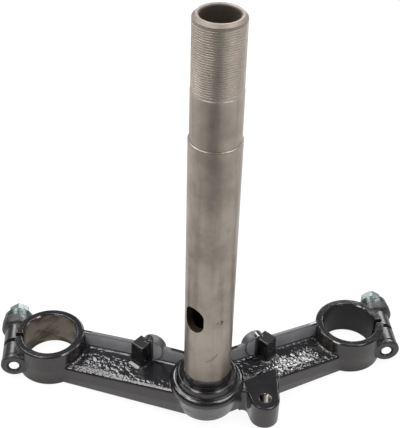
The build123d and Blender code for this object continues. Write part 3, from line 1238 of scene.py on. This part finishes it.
@dataclass(frozen=True)
class Lamp:
    """A soft panel that faces the part, placed by its direction seen from there, in degrees."""

    name: str
    azimuth: float
    elevation: float
    distance: float
    width: float
    height: float
    radiance: float

    def hang(self, aim: Vector) -> None:
        """Hang the panel so that it faces a point.

        Args:
            aim: The point it faces, in metres.
        """
        turn, rise = math.radians(self.azimuth), math.radians(self.elevation)
        direction = Vector((math.sin(turn) * math.cos(rise), math.cos(turn) * math.cos(rise), math.sin(rise)))
        data = bpy.data.lights.new(self.name, "AREA")
        data.shape = "RECTANGLE"
        data.size, data.size_y = self.width, self.height
        data.energy = self.radiance * math.pi * self.width * self.height
        made = bpy.data.objects.new(self.name, data)
        bpy.context.scene.collection.objects.link(made)
        made.visible_camera = False
        made.location = aim + direction * self.distance
        made.rotation_mode = "QUATERNION"
        made.rotation_quaternion = (-direction).to_track_quat("-Z", "Y")


@dataclass
class Studio:
    """Floor, lights and the camera at the photograph's place."""

    camera_place: Point = (-0.0416, -0.3848, 0.4168)
    camera_aim: Point = (-0.00674, 0.0, 0.1187)
    camera_roll: float = 1.51
    focal_pixels: float = 938.19
    image_width: float = 400.0
    image_height: float = 428.0
    sensor: float = 36.0
    floor_drop: float = 0.0004
    floor_size: float = 6.0
    floor_white: float = 0.9
    floor_roughness: float = 0.9
    floor_shadow: float = 0.08
    # Painted dark patch and painted shadow on the floor, seen only in reflections
    dark_patch_y: Edge = Edge(-0.16, -0.30)
    dark_patch_right: Edge = Edge(0.12, 0.04)
    dark_patch_left: Edge = Edge(-0.62, -0.5)
    ring_shade_reach: Edge = Edge(0.034, 0.014)
    ring_shade_share: float = 0.7
    dark_share: float = 0.95
    air_diffuse: float = 0.3
    air_gloss: float = 0.14
    lamp_aim: Point = (0.0, 0.02, 0.0)
    lamps: tuple[Lamp, ...] = (
        Lamp("back_right_box", 24.0, 32.7, 2.7, 1.86, 0.57, 12.0),
        Lamp("left_back_box", -26.0, 43.0, 2.7, 0.62, 1.3, 8.0),
        Lamp("over_left_box", -66.0, 62.0, 0.8, 0.34, 0.46, 8.0),
        Lamp("over_right_box", 65.0, 70.0, 0.8, 0.34, 0.34, 8.0),
        Lamp("front_left_box", -125.0, 54.0, 1.0, 0.48, 0.34, 10.0),
        Lamp("front_right_box", 126.0, 54.0, 1.0, 0.44, 0.34, 10.0),
        Lamp("left_box", -76.0, 37.0, 0.8, 0.26, 0.26, 2.0),
        Lamp("right_box", 83.0, 33.0, 0.8, 0.16, 0.26, 3.0),
    )

    def build(self) -> None:
        """Lay the floor, hang the lamps, set the surroundings and stand the camera."""
        self.build_floor()
        for lamp in self.lamps:
            lamp.hang(Vector(self.lamp_aim))
        self.build_air()
        self.build_camera()
        bpy.context.scene.view_settings.view_transform = "Standard"
        log.info("built the studio with %d lamps", len(self.lamps))

    def build_camera(self) -> None:
        """Stand the camera where the photograph was taken from."""
        data = bpy.data.cameras.new("photo_camera")
        camera = bpy.data.objects.new("photo_camera", data)
        bpy.context.scene.collection.objects.link(camera)
        data.sensor_fit = "AUTO"
        data.sensor_width = self.sensor
        data.lens = self.focal_pixels * self.sensor / max(self.image_width, self.image_height)
        place, aim = Vector(self.camera_place), Vector(self.camera_aim)
        forward = (aim - place).normalized()
        right = forward.cross(Vector((0, 0, 1))).normalized()
        up = right.cross(forward)
        roll = math.radians(self.camera_roll)
        turned_right = right * math.cos(roll) + up * math.sin(roll)
        turned_up = up * math.cos(roll) - right * math.sin(roll)
        axes = Matrix((turned_right, turned_up, -forward)).transposed().to_4x4()
        camera.matrix_world = Matrix.Translation(place) @ axes
        bpy.context.scene.camera = camera

    def build_floor(self) -> None:
        """Lay a white floor that keeps the object's shadow."""
        low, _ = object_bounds()
        bpy.ops.object.select_all(action="DESELECT")
        bpy.ops.mesh.primitive_plane_add(size=self.floor_size, location=(0, 0, low.z - self.floor_drop))
        floor = bpy.context.object
        floor.name = "floor"
        floor.data.materials.append(self.floor_paint())
        floor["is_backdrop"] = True

    def floor_paint(self) -> bpy.types.Material:
        """Make the floor's material, which glows white for the camera and in reflections, save where painted
        shadow and a painted dark patch dim it in reflections.

        Returns:
            The material.
        """
        paint = Paint("floor_white")
        white = (self.floor_white, self.floor_white, self.floor_white, 1.0)
        paint.set(Base_Color=white, Roughness=self.floor_roughness, Specular_IOR_Level=0.0)
        rays = paint.node("ShaderNodeLightPath")
        camera, gloss = rays.outputs["Is Camera Ray"], rays.outputs["Is Glossy Ray"]
        glow = paint.node("ShaderNodeEmission")
        dimmed = paint.times(self.dark_places(paint), gloss, self.dark_share)
        paint.feed(glow.inputs["Strength"], paint.minus(1.0, dimmed))
        blend = paint.node("ShaderNodeMixShader")
        share = paint.plus(gloss, paint.times(camera, 1.0 - self.floor_shadow))
        paint.feed(blend.inputs["Fac"], share)
        paint.feed(blend.inputs[1], paint.shader.outputs["BSDF"])
        paint.feed(blend.inputs[2], glow.outputs["Emission"])
        paint.feed(paint.output.inputs["Surface"], blend.outputs["Shader"])
        return paint.material

    def dark_places(self, paint: Paint) -> Socket:
        """Share of the floor that is dimmed in reflections only: a painted dark patch near the camera, and
        painted shadow under the rings.

        Args:
            paint: Material to add the nodes to.

        Returns:
            The value socket.
        """
        x, y, _ = paint.split(paint.place)
        # Painted dark patch in front of the part, seen only in reflections
        patch = paint.times(
            paint.past(y, self.dark_patch_y),
            paint.past(x, self.dark_patch_right),
            paint.past(x, self.dark_patch_left),
        )
        # Painted shadow under the fork rings, seen only in reflections
        ring_reach = paint.reach(paint.minus(paint.size_of(x), FORK_X), paint.minus(y, FORK_Y))
        under_ring = paint.times(paint.past(ring_reach, self.ring_shade_reach), self.ring_shade_share)
        return paint.math("MAXIMUM", patch, under_ring)

    def build_air(self) -> None:
        """Set the surroundings: white for the camera, darker in reflections and dim as light."""
        world = bpy.data.worlds.new("studio_air")
        bpy.context.scene.world = world
        world.use_nodes = True
        nodes, links = world.node_tree.nodes, world.node_tree.links
        nodes.clear()
        output = nodes.new("ShaderNodeOutputWorld")
        air = nodes.new("ShaderNodeBackground")
        air.inputs["Color"].default_value = (1, 1, 1, 1)
        rays = nodes.new("ShaderNodeLightPath")
        unseen, seen = nodes.new("ShaderNodeMix"), nodes.new("ShaderNodeMix")
        unseen.inputs[2].default_value = self.air_diffuse
        unseen.inputs[3].default_value = self.air_gloss
        seen.inputs[3].default_value = 1.0
        links.new(rays.outputs["Is Glossy Ray"], unseen.inputs[0])
        links.new(rays.outputs["Is Camera Ray"], seen.inputs[0])
        links.new(unseen.outputs[0], seen.inputs[2])
        links.new(seen.outputs[0], air.inputs["Strength"])
        links.new(air.outputs["Background"], output.inputs["Surface"])


def main() -> None:
    """Dress the part and build its studio."""
    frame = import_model()
    for assembly in (Yoke(), Stem(), PinchBolts()):
        assembly.dress(frame["nodes"])
    Studio().build()


if __name__ == "__main__":
    main()
